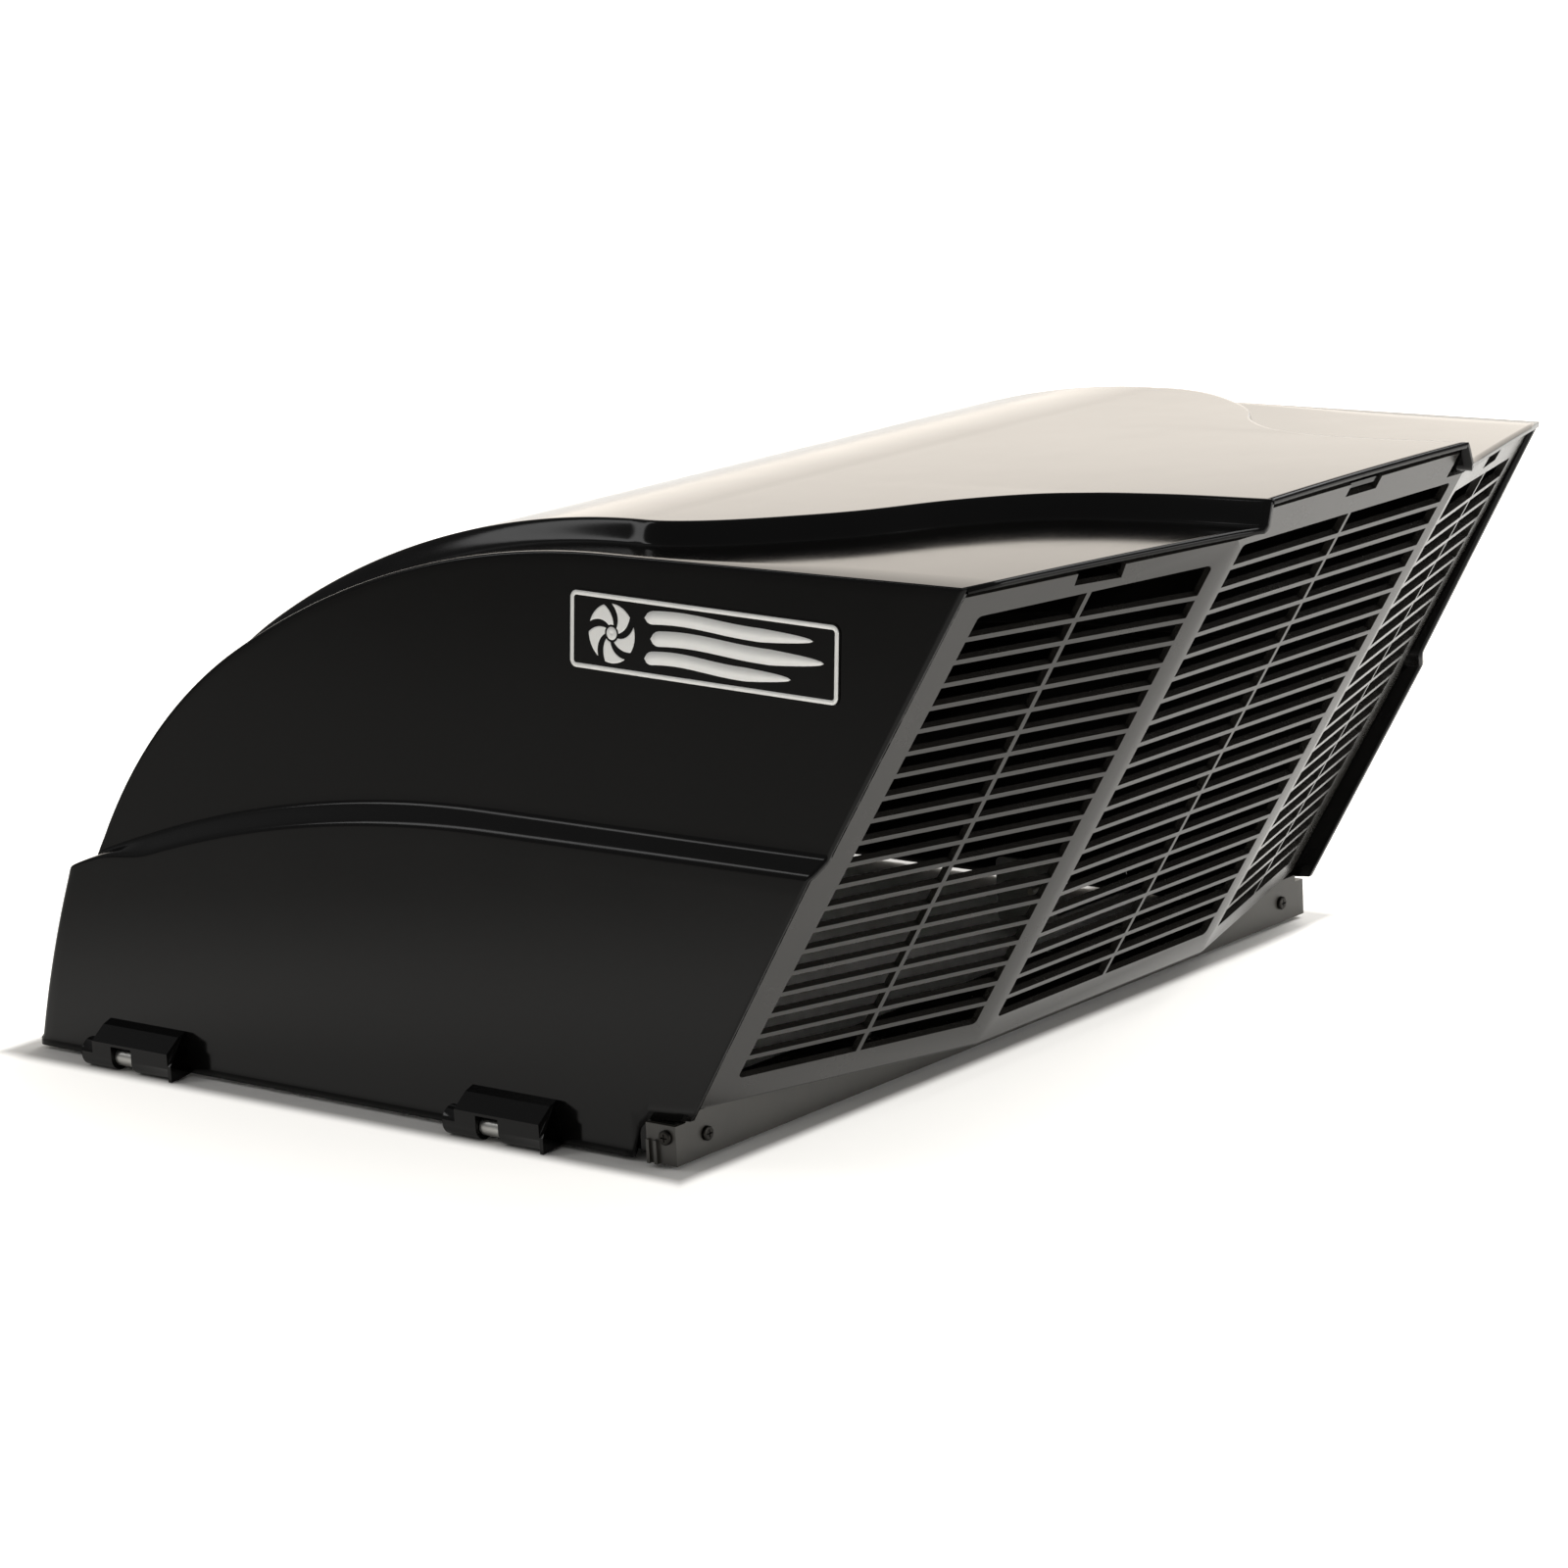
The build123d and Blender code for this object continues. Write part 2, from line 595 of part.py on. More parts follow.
# ---- brackets, pins, bolts and washers, one set for each hinge station ----
tab_outer = flange_half_width + bracket_sheet
station_pieces = {}
for end_name, middle in stations.items():
    for side_name, side in sides.items():
        tab_x = sill_x + middle - side * tab_offset
        bolt_places = [(tab_x + step, side * tab_outer, foot_drop + bolt_height)
                       for step in (-bolt_spacing / 2, bolt_spacing / 2)]
        bolt_seats = [Plane(origin=place, x_dir=(1, 0, 0), z_dir=(0, side, 0)) for place in bolt_places]

        with BuildPart() as bracket:
            with BuildSketch(cross_plane(middle - arm_notch / 2 + arm_gap)):
                with Locations((side * pin_y, barrel_height)):
                    Circle(eye_radius)
                with Locations((side * (pin_y + flange_half_width) / 2, barrel_height)):
                    Rectangle(pin_y - flange_half_width, bracket_sheet)
                with Locations((side * pin_y, barrel_height)):
                    Circle(pin_radius + pin_gap, mode=Mode.SUBTRACT)
            extrude(amount=arm_notch - 2 * arm_gap)
            tab_foot = barrel_height - bracket_sheet / 2
            with BuildSketch(Plane(origin=(tab_x, side * flange_half_width, foot_drop + tab_foot),
                                   x_dir=(-side, 0, 0), z_dir=(0, side, 0))):
                RectangleRounded(tab_width, tab_height, 4, align=(Align.CENTER, Align.MIN))
            extrude(amount=bracket_sheet)
            with Locations(*bolt_seats):
                Hole(bolt_hole_radius, depth=bracket_sheet)

        with BuildPart() as clip_pin:
            start = middle - barrel_front
            with BuildSketch(cross_plane(start)):
                with Locations((side * pin_y, barrel_height)):
                    Circle(pin_radius)
            extrude(amount=barrel_front + barrel_rear - 2)
            chamfer(clip_pin.edges().sort_by(Axis.X)[-1], length=0.8)
            with BuildSketch(cross_plane(start)):
                with Locations((side * pin_y, barrel_height)):
                    Circle(pin_head_radius)
            extrude(amount=-pin_head)
            fillet(clip_pin.edges().sort_by(Axis.X)[0], radius=0.8)

        with BuildPart() as bolts:
            for seat in bolt_seats:
                with BuildSketch(seat.offset(washer_sheet)):
                    RegularPolygon(bolt_head_radius, 6)
                extrude(amount=bolt_head)
                with BuildSketch(seat.offset(washer_sheet)):
                    Circle(bolt_radius)
                extrude(amount=-washer_sheet - bracket_sheet)
                with BuildSketch(seat.offset(-bracket_sheet)):
                    Circle(thread_radius)
                extrude(amount=washer_sheet + bracket_sheet - bolt_length)

        with BuildPart() as washers:
            for seat in bolt_seats:
                with BuildSketch(seat):
                    Circle(washer_radius)
                    Circle(bolt_hole_radius, mode=Mode.SUBTRACT)
                extrude(amount=washer_sheet)

        place = f"{end_name}_{side_name}"
        station_pieces["bracket_" + place] = bracket.part
        station_pieces["clip_pin_" + place] = clip_pin.part
        station_pieces["bracket_bolts_" + place] = bolts.part
        station_pieces["bracket_washers_" + place] = washers.part

# ---- write the pieces ----
pieces = {"hood_shell": hood_shell.part, "rear_sill": rear_sill.part, "rear_grille": rear_grille.part,
          "sill_screws": sill_screws.part, "floor_screws": floor_screws.part}
pieces.update({f"side_label_{side_name}": label for side_name, label in labels.items()})
pieces.update(station_pieces)
os.makedirs("parts", exist_ok=True)
for name, piece in pieces.items():
    piece.label = name
    export_step(piece, f"parts/{name}.step")
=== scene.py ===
import math
import bmesh
import bpy
import numpy as np
from mathutils import Matrix, Vector


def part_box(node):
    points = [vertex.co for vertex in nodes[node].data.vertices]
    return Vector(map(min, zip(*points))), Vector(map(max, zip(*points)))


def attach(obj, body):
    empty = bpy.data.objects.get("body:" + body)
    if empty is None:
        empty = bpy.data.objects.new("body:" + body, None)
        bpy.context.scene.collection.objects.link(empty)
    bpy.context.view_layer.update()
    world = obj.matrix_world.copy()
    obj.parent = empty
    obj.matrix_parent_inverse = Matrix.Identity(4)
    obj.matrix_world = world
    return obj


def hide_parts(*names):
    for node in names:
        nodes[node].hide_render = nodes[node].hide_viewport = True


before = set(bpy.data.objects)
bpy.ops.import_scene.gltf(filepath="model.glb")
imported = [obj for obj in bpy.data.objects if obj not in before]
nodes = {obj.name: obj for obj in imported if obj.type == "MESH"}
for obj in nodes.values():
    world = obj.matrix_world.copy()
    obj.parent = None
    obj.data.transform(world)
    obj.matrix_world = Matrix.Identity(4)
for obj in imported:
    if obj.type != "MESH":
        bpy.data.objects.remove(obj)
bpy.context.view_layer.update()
hoodLow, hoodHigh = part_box("hood_shell")
sillLow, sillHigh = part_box("rear_sill")
print("frame loaded:", len(nodes), "nodes")

# Lengths below are in millimetres. x runs back from the sill's rear face, z up from the hood's rim.
sillFace = sillHigh.x * 1000
rimLevel = sillLow.z * 1000
mergeGap = 2e-6  # metres: points closer than this are one


def toFrame(points):
    # from millimetres behind the sill and above the rim to the frame's metres
    return (np.asarray(points, float) + np.array([sillFace, 0.0, rimLevel])) / 1000


# Mesh helpers
def ramp(value, start, end):
    # smooth step: 3t^2 - 2t^3, t running from 0 at start to 1 at end
    t = np.clip((value - start) / (end - start), 0, 1)
    return t * t * (3 - 2 * t)


def gridFaces(rows, cols, first=0):
    # a quad between each pair of neighbouring rows and columns, counted row by row
    i, j = np.meshgrid(np.arange(rows - 1), np.arange(cols - 1), indexing="ij")
    a = (i * cols + j).ravel() + first
    return np.stack([a, a + 1, a + cols + 1, a + cols], axis=1)


def meshObject(name, points, faces, body, material, sharpAngle=32):
    mesh = bpy.data.meshes.new(name)
    mesh.from_pydata(points.tolist(), [], faces.tolist())
    mesh.materials.append(material)
    mesh.shade_smooth()
    mesh.set_sharp_from_angle(angle=math.radians(sharpAngle))
    piece = bpy.data.objects.new(name, mesh)
    bpy.context.scene.collection.objects.link(piece)
    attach(piece, body)
    return piece


def weld(piece, spot, direction, sharpAngle):
    # merges doubles, turns the faces one way, and turns them outwards by the face nearest one known spot
    bm = bmesh.new()
    bm.from_mesh(piece.data)
    bmesh.ops.remove_doubles(bm, verts=bm.verts, dist=mergeGap)
    bmesh.ops.dissolve_degenerate(bm, edges=bm.edges, dist=mergeGap / 2)
    bmesh.ops.recalc_face_normals(bm, faces=bm.faces)
    nearest = min(bm.faces, key=lambda f: (f.calc_center_median() - spot).length)
    if nearest.normal.dot(direction) < 0:
        bmesh.ops.reverse_faces(bm, faces=bm.faces)
    bm.to_mesh(piece.data)
    bm.free()
    piece.data.shade_smooth()
    piece.data.set_sharp_from_angle(angle=math.radians(sharpAngle))


# Material helpers
def linear(hexText):
    # sRGB to linear light: c / 12.92 near black, and ((c + 0.055) / 1.055) to the power 2.4 above it
    channels = [int(hexText[i:i + 2], 16) / 255 for i in (1, 3, 5)]
    return [c / 12.92 if c <= 0.04045 else ((c + 0.055) / 1.055) ** 2.4 for c in channels] + [1.0]


def addNode(tree, kind, settings=None, links=None):
    # settings are attributes, or socket values by name or number, and links are the sockets fed
    node = tree.nodes.new(kind)
    for key, value in (settings or {}).items():
        if isinstance(key, int) or key in node.inputs:
            node.inputs[key].default_value = value
        else:
            setattr(node, key, value)
    for key, source in (links or {}).items():
        tree.links.new(source, node.inputs[key])
    return node


def newMaterial(name, surface):
    material = bpy.data.materials.new(name)
    material.use_nodes = True
    tree = material.node_tree
    shader = tree.nodes["Principled BSDF"]
    for key, value in surface.items():
        shader.inputs[key].default_value = value
    place = addNode(tree, "ShaderNodeTexCoord").outputs["Object"]
    return material, tree, shader, place


def mouldedPlastic(name, values):
    # Three noises, each with cells about as many millimetres across as its size: slow ripple from uneven
    # cooling, fine skin grain, and handling haze. Haze mixes the colour towards the dusty one, by at most the
    # dust share, and sets the roughness from low to high. Ripple bumps the surface, and grain bumps that.
    material, tree, shader, place = newMaterial(name, {"Specular IOR Level": values["specular"],
                                                "IOR": values["ior"]})
    noises = {}
    for key, detail, roughness in (("ripple", 1.0, 0.5), ("grain", 3.0, 0.6), ("haze", 5.0, 0.65)):
        noises[key] = addNode(tree, "ShaderNodeTexNoise", {"Scale": 1000 / values[key + "Size"],
                              "Detail": detail, "Roughness": roughness}, {"Vector": place}).outputs["Fac"]
    dust = addNode(tree, "ShaderNodeMapRange", {"To Max": values["dust"]},
                   {"Value": noises["haze"]}).outputs[0]
    shade = addNode(tree, "ShaderNodeMix", {"data_type": "RGBA", 6: linear(values["colour"]),
                    7: linear(values["dusty"])}, {0: dust}).outputs[2]
    dull = addNode(tree, "ShaderNodeMapRange", {"To Min": values["roughLow"], "To Max": values["roughHigh"]},
                   {"Value": noises["haze"]}).outputs[0]
    slow = addNode(tree, "ShaderNodeBump", {"Strength": values["rippleDepth"], "Distance": 0.001},
                   {"Height": noises["ripple"]}).outputs[0]
    fine = addNode(tree, "ShaderNodeBump", {"Strength": values["grainDepth"], "Distance": 0.0002},
                   {"Height": noises["grain"], "Normal": slow}).outputs[0]
    tree.links.new(shade, shader.inputs["Base Color"])
    tree.links.new(dull, shader.inputs["Roughness"])
    tree.links.new(fine, shader.inputs["Normal"])
    return material


# Polished ABS, from a highly finished mould: near black face on, a bright mirror at a low angle.
# Its index is a little under the usual 1.54, which keeps the face-on sheen as faint as the real one's.
hoodPlastic = mouldedPlastic("polished black ABS", {"colour": "#060606", "dusty": "#0f0e0d", "dust": 0.5,
    "ior": 1.36, "specular": 0.27, "rippleSize": 60, "rippleDepth": 0.05, "grainSize": 1.2,
    "grainDepth": 0.02, "hazeSize": 45, "roughLow": 0.07, "roughHigh": 0.16})
# The same ABS from a plainer mould: the louvre's faces are satin, so they catch a broad grey light.
grillePlastic = mouldedPlastic("satin black ABS louvre", {"colour": "#1d1c1a", "dusty": "#2b2926",
    "dust": 0.7, "ior": 1.5, "specular": 0.5, "rippleSize": 40, "rippleDepth": 0.03,
    "grainSize": 0.8, "grainDepth": 0.1,
    "hazeSize": 30, "roughLow": 0.2, "roughHigh": 0.32})
# Extruded sill strip, dulled by handling and a film of dust.
sillPlastic = mouldedPlastic("satin brown-black ABS sill", {"colour": "#21201d", "dusty": "#3f3c36",
    "dust": 0.8, "ior": 1.5, "specular": 0.5, "rippleSize": 30, "rippleDepth": 0.04,
    "grainSize": 0.7, "grainDepth": 0.2,
    "hazeSize": 18, "roughLow": 0.3, "roughHigh": 0.5})


def platedSteel(name, values):
    # Metal with two noises: one stretched along an axis into fine lines, which sets the roughness from low to
    # high and the scratch depth, and one of round blotches, which mixes the colour towards the tint.
    material, tree, shader, place = newMaterial(name, {"Metallic": 1.0})
    along = addNode(tree, "ShaderNodeMapping", {"Scale": values["lines"]}, {"Vector": place}).outputs[0]
    noises = {}
    for key, source in (("line", along), ("blotch", place)):
        noises[key] = addNode(tree, "ShaderNodeTexNoise", {"Scale": 1000 / values[key + "Size"],
                              "Detail": 3.0, "Roughness": 0.5}, {"Vector": source}).outputs["Fac"]
    shade = addNode(tree, "ShaderNodeMix", {"data_type": "RGBA", 6: linear(values["colour"]),
                    7: linear(values["tint"])}, {0: noises["blotch"]}).outputs[2]
    dull = addNode(tree, "ShaderNodeMapRange", {"To Min": values["roughLow"], "To Max": values["roughHigh"]},
                   {"Value": noises["line"]}).outputs[0]
    scratch = addNode(tree, "ShaderNodeBump", {"Strength": 0.15, "Distance": 0.0001},
                      {"Height": noises["line"]}).outputs[0]
    tree.links.new(shade, shader.inputs["Base Color"])
    tree.links.new(dull, shader.inputs["Roughness"])
    tree.links.new(scratch, shader.inputs["Normal"])
    return material


# Zinc plate on turned steel: bluish white with a faint yellow passivate in patches.
zincSteel = platedSteel("zinc plated steel", {"colour": "#b9bcc0", "tint": "#b8b09a", "lines": (1, 1, 1),
    "lineSize": 0.5, "blotchSize": 4, "roughLow": 0.25, "roughHigh": 0.42})
# Stainless strip, brushed along the arm: long soft lines across the cover's width.
bracketSteel = platedSteel("brushed stainless strip", {"colour": "#a9a9a6", "tint": "#9b9a96",
    "lines": (1, 0.04, 1), "lineSize": 0.35, "blotchSize": 14, "roughLow": 0.28, "roughHigh": 0.45})
print("materials made")


# Zinc plate under a black chromate passivate, as on trim screws: dark, with the zinc's sheen left in it.
blackZinc = platedSteel("black passivated zinc", {"lines": (1, 1, 6), "lineSize": 1.5, "blotchSize": 3,
    "colour": "#1e1d1c", "tint": "#34322f", "roughLow": 0.25, "roughHigh": 0.42})

# Hood skin
hood = {
    "rearReach": 245.9, "lipFoldX": 240, "lipFoldHalf": 105, "lipFlatHalf": 99, "lipCornerX": 185,
    "roofHeight": 314, "crownFront": 51, "crownRadius": 521, "noseRadius": 282, "shoulder": 30.6,
    "roofHalf": 270, "waistHalf": 279.5, "waistHeight": 172, "skirtHalf": 292.5, "skirtDraft": 4,
    "ledgeFront": 130, "ledgeRadius": 821, "ledgeDrop": 9, "ledgeRear": 98.4, "ledgeRearLow": 92.8,
    "tipX": 8.6, "tipHeight": 25, "notchX": 27, "notchHeight": 22, "notchLow": 16,
    "frontTop": 448, "frontFoot": 480, "frontBulge": 2.5, "beadHeight": 6, "bead": 2, "cornerRound": 5,
    "humpFront": 12, "humpRear": 13.6, "crown": 6.2, "stepHalf": 3.4, "edgeRound": 2.6, "wall": 3,
    "slotMiddles": (-120, -397), "slotHalf": 8, "slotTop": 12.5, "straightEnd": -420,
}
# half width of the raised roof against distance back from the sill
humpPlanX = np.array([-60, -38, -8, 23, 52, 75, 104, 133, 174, 246], float)
humpPlanHalf = np.array([238, 238, 227, 205, 178, 146, 119, 105, 98, 97], float)


def smoothCurve(x, knotsX, knotsY):
    # Hermite curve through the knots, its slope at each one taken from its neighbours
    slopes = np.gradient(knotsY, knotsX)
    slopes[0] = slopes[-1] = 0
    x = np.clip(x, knotsX[0], knotsX[-1])
    k = np.clip(np.searchsorted(knotsX, x) - 1, 0, len(knotsX) - 2)
    width = knotsX[k + 1] - knotsX[k]
    t = (x - knotsX[k]) / width
    return ((2 * t**3 - 3 * t**2 + 1) * knotsY[k] + (t**3 - 2 * t**2 + t) * width * slopes[k]
            + (3 * t**2 - 2 * t**3) * knotsY[k + 1] + (t**3 - t**2) * width * slopes[k + 1])


def roofLine(run):
    # side line of the roof: distance run ahead of the flat, along the crown arc and then the nose arc
    first = hood["crownRadius"] * math.radians(hood["shoulder"])
    turn = np.where(run < first, run / hood["crownRadius"],
                    math.radians(hood["shoulder"]) + (run - first) / hood["noseRadius"])
    crownX, crownZ = -hood["crownFront"], hood["roofHeight"] - hood["crownRadius"]
    rest = hood["crownRadius"] - hood["noseRadius"]
    noseX = crownX - rest * math.sin(math.radians(hood["shoulder"]))
    noseZ = crownZ + rest * math.cos(math.radians(hood["shoulder"]))
    onCrown = run < first
    radius = np.where(onCrown, hood["crownRadius"], hood["noseRadius"])
    x = np.where(onCrown, crownX, noseX) - radius * np.sin(turn)
    z = np.where(onCrown, crownZ, noseZ) + radius * np.cos(turn)
    return x, z, turn


def upperHalf(z):
    slope = (hood["waistHalf"] - hood["roofHalf"]) / (hood["roofHeight"] - hood["waistHeight"])
    return hood["roofHalf"] + slope * (hood["roofHeight"] - z)


def skirtHalfAt(z):
    return hood["skirtHalf"] - hood["skirtDraft"] * z / hood["waistHeight"]


def ledgeZ(x):
    # level along the side, then an arc down to the nose
    back = np.minimum(x + hood["ledgeFront"], 0)
    return hood["waistHeight"] - hood["ledgeRadius"] + np.sqrt(hood["ledgeRadius"] ** 2 - back**2)


def frontX(z):
    # leaning front wall with a slight bulge, and the bead along its foot
    top = ledgeZ(np.array(-hood["frontTop"], float))
    t = np.clip((top - z) / (top - hood["beadHeight"]), 0, 1)
    bulge = hood["frontBulge"] * 4 * t * (1 - t)
    lean = -hood["frontTop"] - (hood["frontFoot"] - hood["frontTop"]) * t - bulge
    return lean - hood["bead"] * np.clip((hood["beadHeight"] - z) / hood["bead"], 0, 1)


def lipX(y):
    y = np.abs(y)
    slope = (hood["lipFoldX"] - hood["lipCornerX"]) / (hood["roofHalf"] - hood["lipFoldHalf"])
    return np.where(y < hood["lipFoldHalf"],
                    hood["rearReach"] - (hood["rearReach"] - hood["lipFoldX"])
                    * np.clip((y - hood["lipFlatHalf"]) / (hood["lipFoldHalf"] - hood["lipFlatHalf"]), 0, 1),
                    hood["lipFoldX"] - slope * (y - hood["lipFoldHalf"]))


def noseEnd():
    # where the nose line meets the ledge line, found by halving
    low, high = 300.0, 520.0
    for _ in range(40):
        middle = (low + high) / 2
        x, z, _turn = roofLine(np.array(middle))
        low, high = (middle, high) if z > ledgeZ(x) else (low, middle)
    return low


def between(start, end, count, bunched=True):
    # rows from start to end, drawn in towards both ends so that flat parts stay flat in shading
    t = np.linspace(0, 1, count)
    t = t - (0.55 / (2 * np.pi) * np.sin(2 * np.pi * t) if bunched else 0)
    return start + (end - start) * t[:, None, None]


def rounded(before, corner, after, radius, count=6):
    # quadratic curve that leaves one side and meets the other a radius from their corner
    def pull(side):
        way = side - corner
        length = np.linalg.norm(way, axis=-1, keepdims=True)
        return corner + way * np.minimum(radius, 0.42 * length) / np.maximum(length, 1e-9)
    start, end = pull(before), pull(after)
    t = np.linspace(0, 1, count)[:, None, None]
    return (1 - t) ** 2 * start + 2 * t * (1 - t) * corner + t**2 * end


def hoodHalf():
    # One half of the hood's outer skin: stations from the rear lip round to the front, rows from the middle
    # of the roof down to the rim. Each row joins matching points of the roof's edge, the ledge and the rim,
    # so the walls are ruled between them.
    endRun = noseEnd()
    rearCount, frontCount, cornerCount = 64, 9, 6
    tRear = np.linspace(0, 1, rearCount)
    slots = [m + s * hood["slotHalf"] for m in hood["slotMiddles"] for s in (-1, 1)]
    spread = np.linspace(-hood["notchX"], hood["straightEnd"], 76)
    sideX = np.unique(np.concatenate([spread, slots]))[::-1][1:]
    tFront = np.linspace(0, 1, frontCount)[1:]
    turnCorner = np.linspace(0, math.pi / 2, cornerCount)[1:]
    count = rearCount + len(sideX) + len(tFront) + len(turnCorner)
    rear = slice(0, rearCount)
    side = slice(rearCount, rearCount + len(sideX))
    front = slice(side.stop, side.stop + len(tFront))
    corner = slice(front.stop, count)

    # along the roof
    run = np.zeros(count)
    lastRun = endRun - 14
    run[side] = (-hood["notchX"] - sideX) / (-hood["notchX"] - hood["straightEnd"]) * lastRun
    run[front] = lastRun + (endRun - lastRun) * tFront
    run[corner] = endRun
    lineX, lineZ, turn = roofLine(run)
    rearShare = np.zeros(count)
    rearShare[rear] = 1 - tRear

    # raised roof: its edge is solved on each station, because stations fan out towards the lip
    edgeX = -hood["crownFront"] + 240 * rearShare
    for _ in range(60):
        half = smoothCurve(edgeX, humpPlanX, humpPlanHalf)
        edgeX = -hood["crownFront"] + (lipX(half) + hood["crownFront"]) * rearShare
    half = np.where(rearShare > 0, half, humpPlanHalf[0])
    slope = np.gradient(half, np.where(rearShare > 0, edgeX, lineX - np.arange(count) * 1e-6))
    skew = np.where(rearShare > 0, np.sqrt(1 + slope**2), 1.0)
    rise = np.where(rearShare > 0,
                    hood["humpFront"] + (hood["humpRear"] - hood["humpFront"]) * rearShare,
                    hood["humpFront"] * (1 - ramp(run, endRun - 95, endRun - 6)))

    # wall keys
    cornerX = -hood["crownFront"] + (hood["lipCornerX"] + hood["crownFront"]) * rearShare
    topEdge = np.stack([np.where(rearShare > 0, cornerX, lineX), upperHalf(lineZ), lineZ], axis=-1)
    ledgeInX = np.zeros(count)
    ledgeInX[rear] = hood["ledgeRear"] + (-hood["notchX"] - hood["ledgeRear"]) * tRear
    ledgeInX[side] = sideX
    ledgeInX[front] = hood["straightEnd"] + (lineX[-1] - hood["straightEnd"]) * tFront
    ledgeInX[corner] = lineX[-1]
    ledgeIn = np.stack([ledgeInX, upperHalf(ledgeZ(ledgeInX)), ledgeZ(ledgeInX)], axis=-1)
    ledgeIn[corner] = topEdge[corner]
    drop = hood["ledgeDrop"] * (1 - ramp(-ledgeInX, 380, 429))
    reach = hood["cornerRound"]
    ledgeOutX = ledgeInX.copy()
    ledgeOutX[rear] = hood["ledgeRearLow"] + (-hood["notchX"] - hood["ledgeRearLow"]) * tRear
    ledgeOutX[front] = hood["straightEnd"] + (-hood["frontTop"] + reach - hood["straightEnd"]) * tFront
    ledgeOutX[corner] = -hood["frontTop"] + reach * (1 - np.sin(turnCorner))
    outZ = ledgeZ(ledgeOutX) - drop
    ledgeOut = np.stack([ledgeOutX, skirtHalfAt(outZ), outZ], axis=-1)
    ledgeOut[corner, 1] -= reach * (1 - np.cos(turnCorner))

    # skirt rows by height: the rear ones fan to the tip and the notch, the front ones follow the front wall
    tipX = np.interp(tRear, [0, 0.8, 1], [hood["tipX"], 6 - hood["notchX"], -hood["notchX"]])
    tipZ = np.interp(tRear, [0, 0.8, 1], [hood["tipHeight"], hood["notchHeight"], hood["notchLow"]])

    def skirtRow(share, level=None):
        z = outZ + (hood["notchLow"] - outZ) * share if level is None else np.full(count, float(level))
        z[rear] = outZ[rear] + (tipZ - outZ[rear]) * (share if level is None else 1)
        x = ledgeOutX.copy()
        x[rear] = ledgeOutX[rear] + (tipX - ledgeOutX[rear]) * (share if level is None else 1)
        foot = frontX(z)
        x[front] = hood["straightEnd"] + (foot[front] + reach - hood["straightEnd"]) * tFront
        x[corner] = foot[corner] + reach * (1 - np.sin(turnCorner))
        y = skirtHalfAt(z)
        y[corner] -= reach * (1 - np.cos(turnCorner))
        return np.stack([x, y, z], axis=-1)

    shares = np.concatenate([[0.012, 0.035], np.linspace(0.08, 1, 15)])
    lowLevels = [hood["slotTop"], 9, hood["beadHeight"], hood["beadHeight"] - hood["bead"], 0]
    skirtRows = [skirtRow(s) for s in shares] + [skirtRow(1, level) for level in lowLevels]

    # roof rows
    gap = np.linalg.norm(topEdge - ledgeIn, axis=-1)
    round1 = np.minimum(hood["edgeRound"], 0.3 * gap)
    outer = topEdge[:, 1] - round1
    band = hood["stepHalf"] * skew
    rows = [t * (half - 1.6 * band) for t in np.concatenate([np.linspace(0, 0.96, 24), [1.0]])]
    offsets = np.linspace(-1, 1, 15)
    rows += [half + o * band for o in offsets]
    rows += [half + 1.6 * band + (outer - half - 1.6 * band) * t
             for t in np.concatenate([[0.0], np.linspace(0.06, 1, 9)])]
    roofRows = []
    for y in rows:
        step = (y - half) / band
        lift = rise * (1 - ramp(step, -1, 1))
        x = np.where(rearShare > 0, -hood["crownFront"] + (lipX(y) + hood["crownFront"]) * rearShare, lineX)
        crown = hood["crown"] * rearShare * (1 - (y / hood["roofHalf"]) ** 2)
        roofRows.append(np.stack([x - np.sin(turn) * lift, y, lineZ + np.cos(turn) * lift + crown], axis=-1))

    roofPart = np.stack(roofRows)
    edgePart = rounded(np.stack([topEdge[:, 0], outer, lineZ], axis=-1), topEdge, ledgeIn, round1[:, None])
    foot = rounded(topEdge, ledgeIn, ledgeOut, 2.0)
    wallPart = between(edgePart[-1], foot[0], 14)
    lip = rounded(ledgeIn, ledgeOut, skirtRows[2], 2.5)
    ledgePart = between(foot[-1], lip[0], 4, bunched=False)
    skin = np.concatenate([roofPart[:-1], edgePart, wallPart[1:-1], foot, ledgePart[1:-1], lip,
                           np.stack(skirtRows[2:])])
    footRow = len(roofPart) - 1 + len(edgePart) + len(wallPart) - 2
    keep = np.ones((len(skin) - 1, count - 1), bool)
    lowRows = len(skin) - 1 - len(lowLevels)
    keep[lowRows:, :rearCount - 1] = False  # above the notch at the rear
    middles = (skin[-1, 1:, 0] + skin[-1, :-1, 0]) / 2
    for m in hood["slotMiddles"]:
        keep[lowRows + 1:, np.abs(middles - m) < hood["slotHalf"]] = False
    return skin, keep, len(roofPart), footRow


